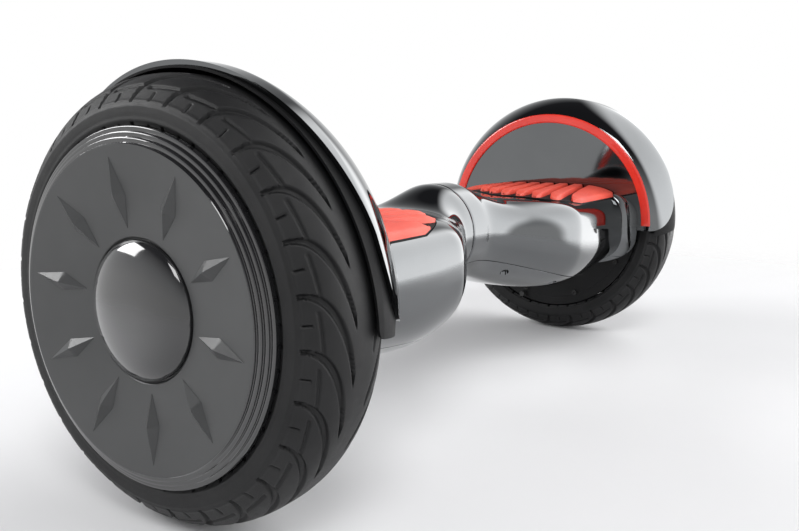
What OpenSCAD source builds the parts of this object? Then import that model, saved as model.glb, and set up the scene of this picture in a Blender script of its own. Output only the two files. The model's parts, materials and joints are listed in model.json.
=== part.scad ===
// Self balancing hoverboard: two foot decks joined by a twisting collar, a hub motor wheel at each end.
// Millimetres. X runs along the wheel axle, Y fore and aft (front is -Y), Z up from the ground.
// The right half lies on -X and the left half on +X. Each side is drawn on +X and mirrored.

/* [Wheel] */
// Outer radius of the tyre
tyre_r = 127; // [110:1:150]
// Distance from the middle of the board to the middle of the tyre
wheel_x = 277.8; // [265:0.2:330]
// Width of the tyre across its sidewalls
tyre_w = 62; // [56:1:80]
// Radius where the tyre bead sits on the rim
rim_r = 98.5; // [90:0.5:104]
// Width of the tread
tread_w = 49.4; // [40:0.2:54]
// How far the tread edge lies inside the crown
tread_drop = 9; // [5:0.5:14]
// Thickness of the tyre at the tread
tyre_wall = 9; // [6:0.5:12]
// Radius of the raised disc of the wheel cover
disc_r = 89.7; // [80:0.1:90]
// Radius of the domed hub cap
cap_r = 39; // [30:1:44]
// Height of the dome
cap_h = 9.2; // [5:0.1:14]
// How much deeper the cover lies round the dome than at its rim
dish = 7.5; // [0:0.1:8]
// Number of darts on the wheel cover
dart_count = 10; // [6:1:12]
// Length of one dart
dart_len = 38.3; // [20:1:40]
// Width of one dart
dart_w = 11; // [6:1:16]
// Height of a dart's ridge
dart_h = 2.6; // [1:0.2:4]
// Angle of the first dart from the top of the wheel, in degrees
dart_phase = 8; // [0:1:35]

/* [Hub motor] */
// Radius of the axle in the clamp
axle_r = 8; // [6:0.5:10]
// Radius of the axle in the bearings
journal_r = 8.5; // [7:0.5:11]
// Outer radius of a hub bearing
bearing_r = 17.5; // [14:0.5:22]
// Width of a hub bearing
bearing_w = 10; // [7:1:14]
// Outer radius of the stator
stator_r = 80; // [60:1:82]
// Length of the stator stack
stator_w = 26; // [20:1:26]
// Number of stator teeth
tooth_count = 27; // [18:3:36]
// Number of magnets
magnet_count = 30; // [20:2:40]
// Thickness of a magnet
magnet_t = 3; // [2:0.5:4]
// Air gap between stator and magnets
air_gap = 0.8; // [0.4:0.1:1.5]

/* [Body] */
// Distance from the middle of the board to the fender's inner face
fender_x = 233.5; // [220:0.5:238]
// Radius of the centre collar
collar_r = 40.7; // [34:0.1:46]
// Height of the twist axis above the ground
twist_z = 139; // [130:1:142]
// Height of the deck above the ground
deck_z = 163; // [158:1:166]
// Height of the widest line of the pod
belt_z = 121; // [114:1:124]
// Height of the pod's belly above the ground
belly_z = 70; // [60:1:72]
// How far the belly rises again towards the wheel
belly_rise = 11; // [0:1:16]
// Half of the pod's width, front to back
pod_half_w = 87; // [84:1:100]
// How far the pod's flange stands out where it meets the fender
pod_flare = 15; // [0:1:18]
// Wall thickness of the shells
shell_wall = 3; // [2:0.5:4]
// Where the seam between the halves lies, towards the right half
seam_shift = 8; // [0:1:10]
// Gap between the two halves
seam_gap = 0.8; // [0.6:0.1:2]
// Angle below the belt where the bottom cover starts
cover_angle = 37.5; // [30:0.5:45]

/* [Fender] */
// Radial gap between tyre and fender
fender_clear = 4; // [3:0.5:8]
// Wall thickness of the fender
fender_wall = 3; // [2:0.5:5]
// How deep the fender's rounded corner runs along the axle
fender_round = 35; // [20:1:45]
// How far the same corner falls towards the middle of the wheel
fender_fall = 19; // [10:0.5:22]
// Distance from the middle of the board to the fender's open edge at the top
fender_edge_top = 281; // [270:1:300]
// The same distance where the open edge starts to curve in at the lower ends
fender_edge_low = 266.5; // [250:0.5:290]
// Height of that curve above the lower ends
fender_end_rise = 51; // [20:1:80]
// Height of the fender's lower ends
fender_low_z = 122; // [116:1:127]
// Inner radius of the arc trim
arc_in = 106.3; // [95:0.1:108]
// Width of the arc trim
arc_w = 9.1; // [5:0.1:10]
// How far the arc trim stands proud
arc_h = 1.6; // [0.8:0.1:3]
// How far the black liner shows outside the fender's open edge at the top
liner_lip = 1.2; // [0.5:0.1:4]
// Distance from the middle of the board to the liner's outer corner at its lower ends
liner_edge_low = 272; // [262:0.5:290]
// Height of the liner's lowest corner
liner_low_z = 114; // [108:1:122]

/* [Foot pad] */
// Number of grooves between the bars of a foot pad
groove_count = 7; // [4:1:8]
// Distance between grooves
groove_pitch = 16.4; // [12:0.2:18]
// Width of a groove at its foot
groove_w = 5.6; // [4:0.2:9]
// How much the grooves slant forward towards the middle of the board, in degrees
groove_slant = 11; // [0:1:16]
// Height of the bars above the pad
bar_h = 4.6; // [3:0.2:8]
// How far the pad reaches forward
pad_front = 76; // [60:1:80]
// How far the pad reaches back
pad_back = 80; // [60:1:82]
// Distance from the middle of the board to the pad's nearest edge
pad_inner_x = 95; // [94:1:120]
// How far the pad can be pressed
pad_travel = 1.5; // [0.5:0.1:3]
// Radius of a pad plunger
plunger_r = 4; // [3:0.5:6]

/* [Inside] */
// Outer radius of the pivot tube
tube_r = 14; // [12:0.5:18]
// Wall thickness of the pivot tube
tube_wall = 3; // [2:0.5:4]
// Wall thickness of a pivot bush
bush_wall = 2; // [1.5:0.5:3]
// Outer radius of the chassis boss round the pivot
boss_r = 21; // [19:0.5:23]
// How far the boss reaches from the middle
boss_end = 54; // [46:1:56]
// Thickness of the chassis plate
plate_t = 5; // [4:0.5:8]
// Half of the chassis plate's width
plate_half_w = 42; // [36:1:46]
// Length of the battery pack
battery_len = 112; // [90:1:120]
// Width of the battery pack
battery_w = 88; // [70:1:90]
// Height of the battery pack
battery_h = 29; // [20:1:30]
// Radius of the charge port
port_r = 8; // [6:0.5:10]
// Radius of the power button
button_r = 7; // [5:0.5:9]
// Travel of the power button
button_travel = 1; // [0.5:0.1:2]
// Radius of a cover screw's head
screw_head_r = 3.4; // [2.5:0.1:4]

/* [Clearances] */
// Radial clearance of a running fit
run_fit = 0.05; // [0.02:0.01:0.1]
// Gap between mating covers
cover_gap = 0.4; // [0.2:0.1:0.8]
// Gap round a moving pad or button
move_gap = 0.6; // [0.4:0.1:1]

/* [Hidden] */

$fn = 96;
big = 400;
axle_z = tyre_r;

// Colours
gunmetal = "#3b3f42";
black = "#1b1c1e";
red = "#d9352a";
pad_red = "#e8604c";
rubber = "#202122";
alloy = "#b9bcc0";
steel = "#8d9196";
copper = "#b87333";
board_green = "#1f6b3a";

// Wheel, measured from the middle of the board
glue_gap = 0.1;
tyre_in_x = wheel_x - tyre_w / 2;
tyre_out_x = wheel_x + tyre_w / 2;
motor_cover_t = 4;
hub_in_x = tyre_in_x + 3.5;
hub_out_x = tyre_out_x - 3.5;
hub_wall = 6;
hub_bore_r = rim_r - 4 - hub_wall;
cover_face_x = tyre_out_x + 7;
cover_t = 3;
cover_back_x = hub_out_x + 0.2;
magnet_r = stator_r + air_gap;
back_iron_r = magnet_r + magnet_t + glue_gap;
bearing_in_x = hub_in_x + motor_cover_t;
bearing_out_x = hub_out_x - motor_cover_t - bearing_w;
axle_in_x = fender_x - 55.5;
axle_out_x = bearing_out_x + bearing_w - 0.5;
hub_seat_r = 12;
valve_angle = 200;
valve_r = 4;

// Pod, as functions of the distance x from the middle
neck_start = 20;
neck_end = 115;
top_fall_start = 12;
top_fall_end = 64;
belly_start = 6;
belly_end = 142;
belt_end = 160;
flare_len = 9;
deck_power = 4;
belly_power = 2.75;
ring_steps = 48;
station_count = 19;
flange_steps = 4;
seat_gap = 0.2;

function ease(a, b, x) =
    let (t = max(0, min(1, (x - a) / (b - a))))
    t * t * (3 - 2 * t);
function blend(a, b, k) = a + (b - a) * k;
function half_width(x) = blend(collar_r, pod_half_w, ease(neck_start, neck_end, x));
function flare(x) =
    let (t = max(0, (x - fender_x) / flare_len + 1))
    pod_flare * (1 - sqrt(max(0, 1 - t * t)));
function top_z(x) = blend(twist_z + collar_r, deck_z, ease(top_fall_start, top_fall_end, x));
function mid_z(x) = blend(twist_z, belt_z, ease(belly_start, belt_end, x));
function bottom_z(x) =
    blend(twist_z - collar_r, belly_z, ease(belly_start, belly_end, x))
    + belly_rise * ease(belly_end, fender_x, x);
function top_power(x) = blend(2, deck_power, ease(neck_start, neck_end, x));
function bottom_power(x) = blend(2, belly_power, ease(belly_start, belly_end, x));
function signed_pow(v, p) = sign(v) * pow(abs(v), p);
function pod_point(x, a, inset) =
    let (
        n = sin(a) >= 0 ? top_power(x) : bottom_power(x),
        h = sin(a) >= 0 ? top_z(x) - mid_z(x) - inset : mid_z(x) - bottom_z(x) - inset
    )
    [
        x,
        (half_width(x) + (inset > 0 ? -inset : flare(x))) * signed_pow(cos(a), 2 / n),
        mid_z(x) + h * signed_pow(sin(a), 2 / n)
    ];

// Foot pad, which follows the crown of the deck
pad_sink = 1.2;
pad_skin = 1;
pad_gap = 0.3;
floor_depth = pad_sink + pad_travel + pad_gap;
floor_t = 2.6;
pad_outer_x = fender_x - 2;
plunger_x = 145;
plunger_y = 36;
switch_gap = 0.3;
switch_top_z = deck_z - 9.5;
plunger_low_z = switch_top_z + pad_travel + switch_gap;
board_t = 1.6;
switch_h = 5.2;
sensor_z = switch_top_z - switch_h - board_t;
knee_y = -8;
back_slope = 1.05;
front_knee_y = 45;
front_bow = 46;
front_bow_len = 31;
groove_mid_y = 4;
function crown(y) = pod_point(neck_end, acos(signed_pow(y / pod_half_w, deck_power / 2)), 0)[2];
function pad_edge_x(y) =
    pad_inner_x
    - back_slope * knee_y * ln(1 + exp((knee_y - y) / knee_y))
    + (y < -front_knee_y ? front_bow * pow((-y - front_knee_y) / front_bow_len, 2.5) : 0);

// Inside
plate_top_z = axle_z - 9;
plate_z = plate_top_z - plate_t;
plate_start_x = boss_end + 6;
plate_end_x = fender_x - 5;
clamp_x = axle_in_x + 6;
clamp_len = 40;
clamp_half_w = 26;
clamp_top_z = axle_z + 14;
clamp_gap = 0.4;
clamp_screw_r = 3;
clamp_screw_dx = 12;
clamp_screw_dy = 18;
boss_start = 14;
battery_x = plate_start_x + 34;
battery_z = plate_z - 0.5 - battery_h;
port_x = 150;
button_x = 185;
port_z = belt_z;
port_wall_y = pod_half_w;
cap_hinge_z = port_z + port_r + 5;
screw_x = [58, 112, 176];
screw_y = [36, 60, 50];

module side(s) {
    mirror([s < 0 ? 1 : 0, 0, 0]) children();
}
module along_x(x) {
    translate([x, 0, 0]) rotate([90, 0, 90]) children();
}
module at_axle(x) {
    translate([x, 0, axle_z]) rotate([0, 90, 0]) children();
}
module rod(x, y, z, r, len) {
    translate([x, y, z]) rotate([0, 90, 0]) cylinder(r = r, h = len);
}
module post(x, y, z, r, len) {
    translate([x, y, z]) cylinder(r = r, h = len);
}
module block(lo, hi) {
    translate(lo) cube(hi - lo);
}

// Solid of revolution about the axle from points given as [x, radius]
module turned(points) {
    translate([0, 0, axle_z])
        rotate([0, 90, 0])
            rotate_extrude()
                polygon([for (p = points) [p[1], p[0]]]);
}

module tyre() {
    crown = tyre_r;
    shoulder = tyre_r - tread_drop;
    side_r = rim_r + 11;
    half_tread = tread_w / 2;
    steps = 8;
    function crown_point(t) = [wheel_x + half_tread * t, crown - tread_drop * pow(abs(t), 3)];
    outer = concat(
        [[tyre_in_x + 1, rim_r], [tyre_in_x, rim_r + 5], [tyre_in_x, side_r]],
        [for (i = [-steps : steps]) crown_point(i / steps)],
        [[tyre_out_x, side_r], [tyre_out_x, rim_r + 5], [tyre_out_x - 1, rim_r]]
    );
    bead = 9;
    inner = [
        [tyre_out_x - bead, rim_r], [tyre_out_x - bead, side_r - 3], [wheel_x + 18, crown - tyre_wall - 2],
        [wheel_x, crown - tyre_wall], [wheel_x - 18, crown - tyre_wall - 2], [tyre_in_x + bead, side_r - 3],
        [tyre_in_x + bead, rim_r]
    ];
    color(rubber) turned(concat(outer, inner));
}

module hub_shell() {
    well = rim_r - 4;
    seat = 10;
    color(alloy) difference() {
        turned([
            [hub_in_x, hub_bore_r], [hub_in_x, rim_r - 1], [hub_in_x + seat, rim_r - 1], [hub_in_x + seat + 3, well],
            [hub_out_x - seat - 3, well], [hub_out_x - seat, rim_r - 1], [hub_out_x, rim_r - 1],
            [hub_out_x, hub_bore_r], [hub_out_x - motor_cover_t, hub_bore_r],
            [hub_out_x - motor_cover_t, back_iron_r], [hub_in_x + motor_cover_t, back_iron_r],
            [hub_in_x + motor_cover_t, hub_bore_r]
        ]);
        motor_screw_holes(hub_in_x - 1);
        valve_place() cylinder(r = valve_r + 0.1, h = 30, center = true);
    }
}

module magnets() {
    magnet_angle = 360 / magnet_count;
    gap_deg = 1.2;
    color(steel) for (i = [0 : magnet_count - 1])
        translate([wheel_x - stator_w / 2, 0, axle_z])
            rotate([0, 90, 0])
                rotate([0, 0, i * magnet_angle])
                    rotate_extrude(angle = magnet_angle - gap_deg)
                        translate([magnet_r, 0]) square([magnet_t, stator_w]);
}

motor_screw_count = 9;
motor_screw_r = 1.6;
motor_screw_ring = back_iron_r + 2.3;
module motor_screw_holes(x) {
    for (i = [0 : motor_screw_count - 1])
        translate([0, 0, axle_z])
            rotate([i * 360 / motor_screw_count, 0, 0])
                rod(x, 0, motor_screw_ring, motor_screw_r, 16);
}
module motor_cover(plate_x, boss_x, bore_x) {
    boss_wall = 5;
    difference() {
        union() {
            at_axle(plate_x) cylinder(r = hub_bore_r - 0.1, h = motor_cover_t);
            at_axle(boss_x) cylinder(r = bearing_r + boss_wall, h = bearing_w + motor_cover_t);
        }
        at_axle(bore_x) cylinder(r = bearing_r, h = bearing_w + 1);
    }
}
module motor_inner_cover() {
    color(alloy) difference() {
        motor_cover(hub_in_x, hub_in_x, bearing_in_x);
        at_axle(hub_in_x - 1) cylinder(r = journal_r + 1, h = 30);
        motor_screw_holes(hub_in_x - 1);
        for (i = [0 : 5])
            translate([0, 0, axle_z]) rotate([i * 60, 0, 0]) rod(hub_in_x - 1, 0, 52, 9, 3);
    }
}
module motor_outer_cover() {
    color(alloy) motor_cover(hub_out_x - motor_cover_t, bearing_out_x, bearing_out_x - 1);
}
module motor_screws() {
    head_h = 2;
    color(steel) for (i = [0 : motor_screw_count - 1])
        translate([0, 0, axle_z])
            rotate([i * 360 / motor_screw_count, 0, 0]) {
                difference() {
                    union() {
                        rod(hub_in_x - head_h, 0, motor_screw_ring, motor_screw_r * 1.7, head_h);
                        rod(hub_in_x - head_h, 0, motor_screw_ring, motor_screw_r, 12);
                    }
                    rod(hub_in_x - head_h - 1, 0, motor_screw_ring, motor_screw_r * 0.8, 2);
                }
            }
}
module hub_bearings() {
    race = 2.8;
    recess = 0.8;
    color(steel) for (x = [bearing_in_x, bearing_out_x])
        turned([
            [x, journal_r + run_fit], [x, journal_r + race], [x + recess, journal_r + race],
            [x + recess, bearing_r - race], [x, bearing_r - race], [x, bearing_r],
            [x + bearing_w, bearing_r], [x + bearing_w, bearing_r - race],
            [x + bearing_w - recess, bearing_r - race], [x + bearing_w - recess, journal_r + race],
            [x + bearing_w, journal_r + race], [x + bearing_w, journal_r + run_fit]
        ]);
}
module valve_place() {
    translate([hub_in_x + 18, 0, axle_z])
        rotate([valve_angle, 0, 0])
            translate([0, 0, rim_r - 7])
                rotate([0, -60, 0])
                    children();
}
module valve_stem() {
    stem_len = 6.4;
    color(black)
        translate([hub_in_x - 6.5, 0, axle_z])
            rotate([valve_angle, 0, 0])
                translate([0, 0, rim_r - 4.5])
                    rotate([0, 90, 0])
                        cylinder(r = valve_r - 1, h = stem_len);
}

// Face of the dished cover at a radius
function face_x(r) = cover_face_x - dish * (disc_r - r) / (disc_r - cap_r);
cap_seat_depth = 1.2;
cap_seat_x = face_x(cap_r) - cap_seat_depth;
module stepped_cover_profile() {
    step_r = (rim_r - disc_r) / 3;
    step_x = (cover_face_x - tyre_out_x - 2) / 3;
    rib_r = 62;
    polygon([
        [cap_r - 2, cover_back_x], [cap_r - 2, cap_seat_x], [cap_r + 0.6, cap_seat_x],
        [cap_r + 0.6, face_x(cap_r + 0.6)], [disc_r, cover_face_x], [disc_r, cover_face_x - step_x],
        [disc_r + step_r, cover_face_x - step_x], [disc_r + step_r, cover_face_x - 2 * step_x],
        [disc_r + 2 * step_r, cover_face_x - 2 * step_x], [disc_r + 2 * step_r, cover_face_x - 3 * step_x],
        [rim_r, cover_face_x - 3 * step_x], [rim_r, cover_back_x], [disc_r, cover_back_x],
        [disc_r - 3, face_x(disc_r - 3) - cover_t], [rib_r, face_x(rib_r) - cover_t], [rib_r, cover_back_x]
    ]);
}
// A kite with four facets that rise to one point, standing on the dished face
module dart() {
    in_r = cap_r + 6;
    mid_r = in_r + dart_len * 0.46;
    out_r = in_r + dart_len;
    sink = 0.5;
    foot = [[in_r, 0], [mid_r, -dart_w / 2], [out_r, 0], [mid_r, dart_w / 2]];
    polyhedron(
        points = concat(
            [for (p = foot) [p[0], p[1], face_x(p[0])]],
            [for (p = foot) [p[0], p[1], face_x(p[0]) - sink]],
            [[mid_r, 0, face_x(mid_r) + dart_h]]
        ),
        faces = [
            [1, 0, 8], [2, 1, 8], [3, 2, 8], [0, 3, 8],
            [0, 1, 5, 4], [1, 2, 6, 5], [2, 3, 7, 6], [3, 0, 4, 7],
            [4, 5, 6, 7]
        ]
    );
}
module wheel_cover() {
    color(gunmetal) union() {
        translate([0, 0, axle_z])
            rotate([0, 90, 0])
                rotate_extrude() stepped_cover_profile();
        for (i = [0 : dart_count - 1])
            at_axle(0)
                rotate([0, 0, i * 360 / dart_count - dart_phase])
                    dart();
    }
}
module hub_cap() {
    foot_x = face_x(cap_r) - 0.4;
    tip_x = face_x(cap_r) + cap_h;
    steps = 10;
    dome = [for (i = [0 : steps - 1]) [blend(foot_x, tip_x, sin(90 * i / steps)), cap_r * cos(90 * i / steps)]];
    color(black) turned(concat([[cap_seat_x, 0], [cap_seat_x, cap_r]], dome, [[tip_x, 0]]));
}

module axle() {
    color(steel) difference() {
        union() {
            at_axle(axle_in_x) cylinder(r = axle_r, h = fender_x - axle_in_x);
            at_axle(fender_x) cylinder(r = journal_r, h = axle_out_x - fender_x);
            at_axle(bearing_in_x + bearing_w)
                cylinder(r = hub_seat_r, h = bearing_out_x - bearing_in_x - bearing_w);
        }
        at_axle(axle_in_x - 1) cylinder(r = 4, h = wheel_x - axle_in_x - 20);
    }
}
module stator() {
    yoke_r = stator_r - 24;
    tooth_w = 7;
    shoe = 3;
    color("#6d7074") at_axle(wheel_x - stator_w / 2) linear_extrude(stator_w) difference() {
        union() {
            difference() {
                circle(yoke_r);
                circle(yoke_r - 9);
            }
            circle(hub_seat_r + 6);
            for (i = [0 : 4])
                rotate(i * 72) translate([0, -5]) square([yoke_r - 4, 10]);
            for (i = [0 : tooth_count - 1])
                rotate(i * 360 / tooth_count) translate([yoke_r - 2, -tooth_w / 2])
                    square([stator_r - yoke_r, tooth_w]);
            for (i = [0 : tooth_count - 1])
                rotate(i * 360 / tooth_count) intersection() {
                    difference() {
                        circle(stator_r);
                        circle(stator_r - shoe);
                    }
                    translate([yoke_r, -7.6]) square([30, 15.2]);
                }
        }
        circle(hub_seat_r);
    }
}
module windings() {
    yoke_r = stator_r - 24;
    coil_t = 2.6;
    tooth_w = 7;
    end_turn = 5;
    color(copper) for (i = [0 : tooth_count - 1])
        at_axle(0) rotate(i * 360 / tooth_count) difference() {
            translate([yoke_r + 1, -tooth_w / 2 - coil_t, wheel_x - stator_w / 2 - end_turn])
                cube([17, tooth_w + 2 * coil_t, stator_w + 2 * end_turn]);
            translate([yoke_r, -tooth_w / 2, wheel_x - stator_w / 2])
                cube([19, tooth_w, stator_w]);
        }
}

// One wall of the pod between two angles, from start_x to the fender
function shell_ring(x, a0, a1, n) = concat(
    [for (i = [0 : n]) pod_point(x, a0 + (a1 - a0) * i / n, 0)],
    [for (i = [n : -1 : 0]) pod_point(x, a0 + (a1 - a0) * i / n, shell_wall)]
);
module pod_wall(start_x, a0, a1, n) {
    body_end_x = fender_x - flare_len;
    xs = concat(
        [for (i = [0 : station_count]) blend(start_x, body_end_x, i / station_count)],
        [for (i = [1 : flange_steps]) body_end_x + (flare_len - seat_gap) * sin(90 * i / flange_steps)]
    );
    last = len(xs) - 1;
    count = 2 * (n + 1);
    polyhedron(
        points = [for (x = xs) for (p = shell_ring(x, a0, a1, n)) p],
        faces = concat(
            [for (j = [0 : n - 1]) [j, j + 1, count - 2 - j, count - 1 - j]],
            [for (i = [0 : last - 1]) for (j = [0 : count - 1])
                [i * count + j, (i + 1) * count + j, (i + 1) * count + (j + 1) % count]],
            [for (i = [0 : last - 1]) for (j = [0 : count - 1])
                [i * count + j, (i + 1) * count + (j + 1) % count, i * count + (j + 1) % count]],
            [for (j = [0 : n - 1])
                [for (k = [count - 1 - j, count - 2 - j, j + 1, j]) last * count + k]]
        )
    );
}
function start_x(s) = s < 0 ? seam_shift + seam_gap / 2 : seam_gap / 2 - seam_shift;

// Outline of the foot pad grown by grow
module pad_outline(grow) {
    steps = 20;
    length = pad_front + pad_back;
    ys = [for (i = [0 : steps]) -pad_front + length * i / steps];
    polygon(concat(
        [for (y = ys) [pad_edge_x(y) - grow, y + grow * (2 * (y + pad_front) / length - 1)]],
        [[pad_outer_x + min(grow, 1), pad_back + grow], [pad_outer_x + min(grow, 1), -pad_front - grow]]
    ));
}
// A layer of the pad that follows the crown, from low to high above it
module crown_layer(low, high, grow) {
    steps = 24;
    reach = pad_back + 3;
    ys = [for (i = [0 : steps]) -reach + 2 * reach * i / steps];
    intersection() {
        along_x(0) linear_extrude(fender_x - seat_gap) polygon(concat(
            [for (y = ys) [y, crown(y) + low]],
            [for (i = [steps : -1 : 0]) [ys[i], crown(ys[i]) + high]]
        ));
        linear_extrude(big) pad_outline(grow);
    }
}
module upper_shell(s) {
    steps = round(ring_steps * (180 + 2 * cover_angle) / 360);
    color(gunmetal) difference() {
        union() {
            pod_wall(start_x(s), -cover_angle, 180 + cover_angle, steps);
            crown_layer(-floor_depth - floor_t, -floor_depth + 0.5, 2);
        }
        crown_layer(-floor_depth, 20, move_gap);
        for (y = [-plunger_y, plunger_y])
            post(plunger_x, y, deck_z - 20, plunger_r + move_gap, 30);
        if (s > 0) {
            shell_hole(port_x, port_r + cover_gap);
            shell_hole(button_x, button_r + move_gap);
        }
    }
}
module shell_hole(x, r) {
    translate([x, port_wall_y - 10, port_z]) rotate([-90, 0, 0]) cylinder(r = r, h = 20);
}
module bottom_cover(s) {
    steps = round(ring_steps * (180 - 2 * cover_angle) / 360);
    gap_deg = 0.6;
    color(gunmetal) difference() {
        pod_wall(start_x(s), 180 + cover_angle + gap_deg, 360 - cover_angle - gap_deg, steps);
        for (i = [0 : len(screw_x) - 1])
            for (t = [-1, 1])
                post(screw_x[i], t * screw_y[i], bottom_z(screw_x[i]) - 5, screw_head_r + 0.6, 30);
    }
}
module cover_screws() {
    color(steel) for (i = [0 : len(screw_x) - 1])
        for (t = [-1, 1])
            translate([screw_x[i], t * screw_y[i], cover_inner_z(i) - 1]) {
                difference() {
                    cylinder(r = screw_head_r, h = 2.5);
                    translate([0, 0, -1]) cylinder(r = 1.3, h = 2.2, $fn = 6);
                }
                translate([0, 0, 2.4]) cylinder(r = screw_head_r / 2, h = plate_z - cover_inner_z(i) + 3);
            }
}
function cover_inner_z(i) =
    let (
        x = screw_x[i],
        n = bottom_power(x),
        c = screw_y[i] / (half_width(x) - shell_wall)
    )
    mid_z(x) - (mid_z(x) - bottom_z(x) - shell_wall) * pow(1 - pow(c, n), 1 / n);

// Quarter of the fender's corner, inset from the outside, from the inner face to the rim
function fender_corner(inset) =
    let (steps = 9)
    [for (i = [0 : steps]) [
        fender_r - fender_fall + (fender_fall - inset) * pow(sin(90 * i / steps), corner_pow),
        fender_x + fender_round - (fender_round - inset) * pow(cos(90 * i / steps), corner_pow)
    ]];
function reversed(v) = [for (i = [len(v) - 1 : -1 : 0]) v[i]];
module fender_profile() {
    polygon(concat(
        [[0, fender_x]], fender_corner(0), [[fender_r, big], [fender_r - fender_wall, big]],
        reversed(fender_corner(fender_wall)), [[0, fender_x + fender_wall]]
    ));
}
fender_r = tyre_r + fender_clear + fender_wall;
corner_pow = 1.5;
// Keeps what lies above the lower ends and inside the slanting open edge
module fender_cut() {
    knee_z = fender_low_z + fender_end_rise;
    top_z = axle_z + fender_r;
    run = fender_edge_low - fender_x;
    slope = (fender_edge_top - fender_edge_low) / (top_z - knee_z);
    steps = 8;
    rotate([90, 0, 0]) linear_extrude(2 * big, center = true) polygon(concat(
        [[0, fender_low_z]],
        [for (i = [0 : steps])
            [fender_x + run * sin(90 * i / steps), knee_z - fender_end_rise * cos(90 * i / steps)]],
        [[fender_edge_top + slope * margin, top_z + margin], [0, top_z + margin]]
    ));
}
margin = 20;
liner_t = 1.4;
liner_from = 3;
// Keeps what the liner shows beside and below the fender's own edges
module liner_cut() {
    top_z = axle_z + fender_r;
    slope = (fender_edge_top + liner_lip - liner_edge_low) / (top_z - fender_low_z);
    rotate([90, 0, 0]) linear_extrude(2 * big, center = true) polygon([
        [0, liner_low_z], [fender_x, liner_low_z], [liner_edge_low, fender_low_z],
        [fender_edge_top + liner_lip + slope * margin, top_z + margin], [0, top_z + margin]
    ]);
}
module pod_end_plate() {
    ring = [for (i = [0 : ring_steps - 1]) pod_point(fender_x - seat_gap, 360 * i / ring_steps, 0)];
    translate([fender_x, 0, 0]) rotate([90, 0, 90])
        linear_extrude(fender_wall) polygon([for (p = ring) [p[1], p[2]]]);
}
module fender() {
    color(gunmetal) difference() {
        union() {
            intersection() {
                translate([0, 0, axle_z]) rotate([0, 90, 0]) rotate_extrude() fender_profile();
                fender_cut();
            }
            pod_end_plate();
        }
        at_axle(fender_x - 5) cylinder(r = journal_r + 3, h = 20);
    }
}
// Thin black skin that follows the fender's corner inside and shows along its edges
module fender_liner() {
    gap = fender_wall + glue_gap;
    outer = [for (p = fender_corner(gap)) if (p[0] > fender_r - fender_fall + liner_from) p];
    inner = [for (p = fender_corner(gap + liner_t)) if (p[0] > fender_r - fender_fall + liner_from) p];
    color(black) intersection() {
        translate([0, 0, axle_z]) rotate([0, 90, 0]) rotate_extrude() polygon(concat(
            outer, [[fender_r - gap, big], [fender_r - gap - liner_t, big]], reversed(inner)
        ));
        liner_cut();
    }
}
module arc_trim() {
    color(red) translate([fender_x, 0, axle_z])
        rotate([0, 90, 0]) rotate([0, 0, 90]) rotate_extrude(angle = 180) polygon([
            [arc_in, 0], [arc_in, -arc_h * 0.5], [arc_in + arc_w * 0.15, -arc_h],
            [arc_in + arc_w * 0.85, -arc_h], [arc_in + arc_w, -arc_h * 0.5], [arc_in + arc_w, 0]
        ]);
}

module chassis(s) {
    bore = s < 0 ? tube_r : tube_r + bush_wall;
    rib_t = 4;
    rib_start = plate_start_x + 8;
    color(alloy) difference() {
        union() {
            rod(boss_start, 0, twist_z, boss_r, boss_end - boss_start);
            block([plate_start_x, -plate_half_w, plate_z], [plate_end_x, plate_half_w, plate_top_z]);
            block([boss_end - 12, -boss_r * 0.8, plate_z], [plate_start_x + 1, boss_r * 0.8, twist_z - tube_r - 3]);
            block([clamp_x, -clamp_half_w, plate_z], [clamp_x + clamp_len, clamp_half_w, axle_z]);
            for (t = [-1, 1])
                block([rib_start, t * (plate_half_w - rib_t / 2) - rib_t / 2, plate_z],
                    [clamp_x - 8, t * (plate_half_w - rib_t / 2) + rib_t / 2, plate_top_z + 10]);
            for (y = [-plunger_y + 10, plunger_y - 10])
                post(plunger_x, y, plate_top_z - 1, 4, sensor_z - plate_top_z + 1);
        }
        rod(boss_start - 1, 0, twist_z, bore, boss_end);
        at_axle(clamp_x - 1) cylinder(r = axle_r, h = clamp_len + 2);
        at_axle(clamp_x + clamp_len - 0.5) cylinder(r = axle_r + 2, h = 20);
        clamp_screw_places() cylinder(r = clamp_screw_r, h = 60, center = true);
        for (i = [0 : len(screw_x) - 1])
            for (t = [-1, 1])
                if (screw_y[i] < plate_half_w) post(screw_x[i], t * screw_y[i], plate_z - 1, screw_head_r / 2, 30);
    }
}
module clamp_screw_places() {
    for (dx = [-1, 1])
        for (dy = [-1, 1])
            translate([clamp_x + clamp_len / 2 + dx * clamp_screw_dx, dy * clamp_screw_dy, clamp_top_z])
                children();
}
module axle_clamp() {
    color(alloy) difference() {
        block([clamp_x, -clamp_half_w, axle_z + clamp_gap], [clamp_x + clamp_len, clamp_half_w, clamp_top_z]);
        at_axle(clamp_x - 1) cylinder(r = axle_r, h = clamp_len + 2);
        clamp_screw_places() cylinder(r = clamp_screw_r, h = 60, center = true);
    }
}
module clamp_screws() {
    head_h = 5;
    color(steel) clamp_screw_places() difference() {
        union() {
            cylinder(r = 5, h = head_h);
            translate([0, 0, plate_z - clamp_top_z]) cylinder(r = clamp_screw_r, h = clamp_top_z - plate_z + 1);
        }
        translate([0, 0, head_h - 3]) cylinder(r = 2.9, h = 4, $fn = 6);
    }
}
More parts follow.
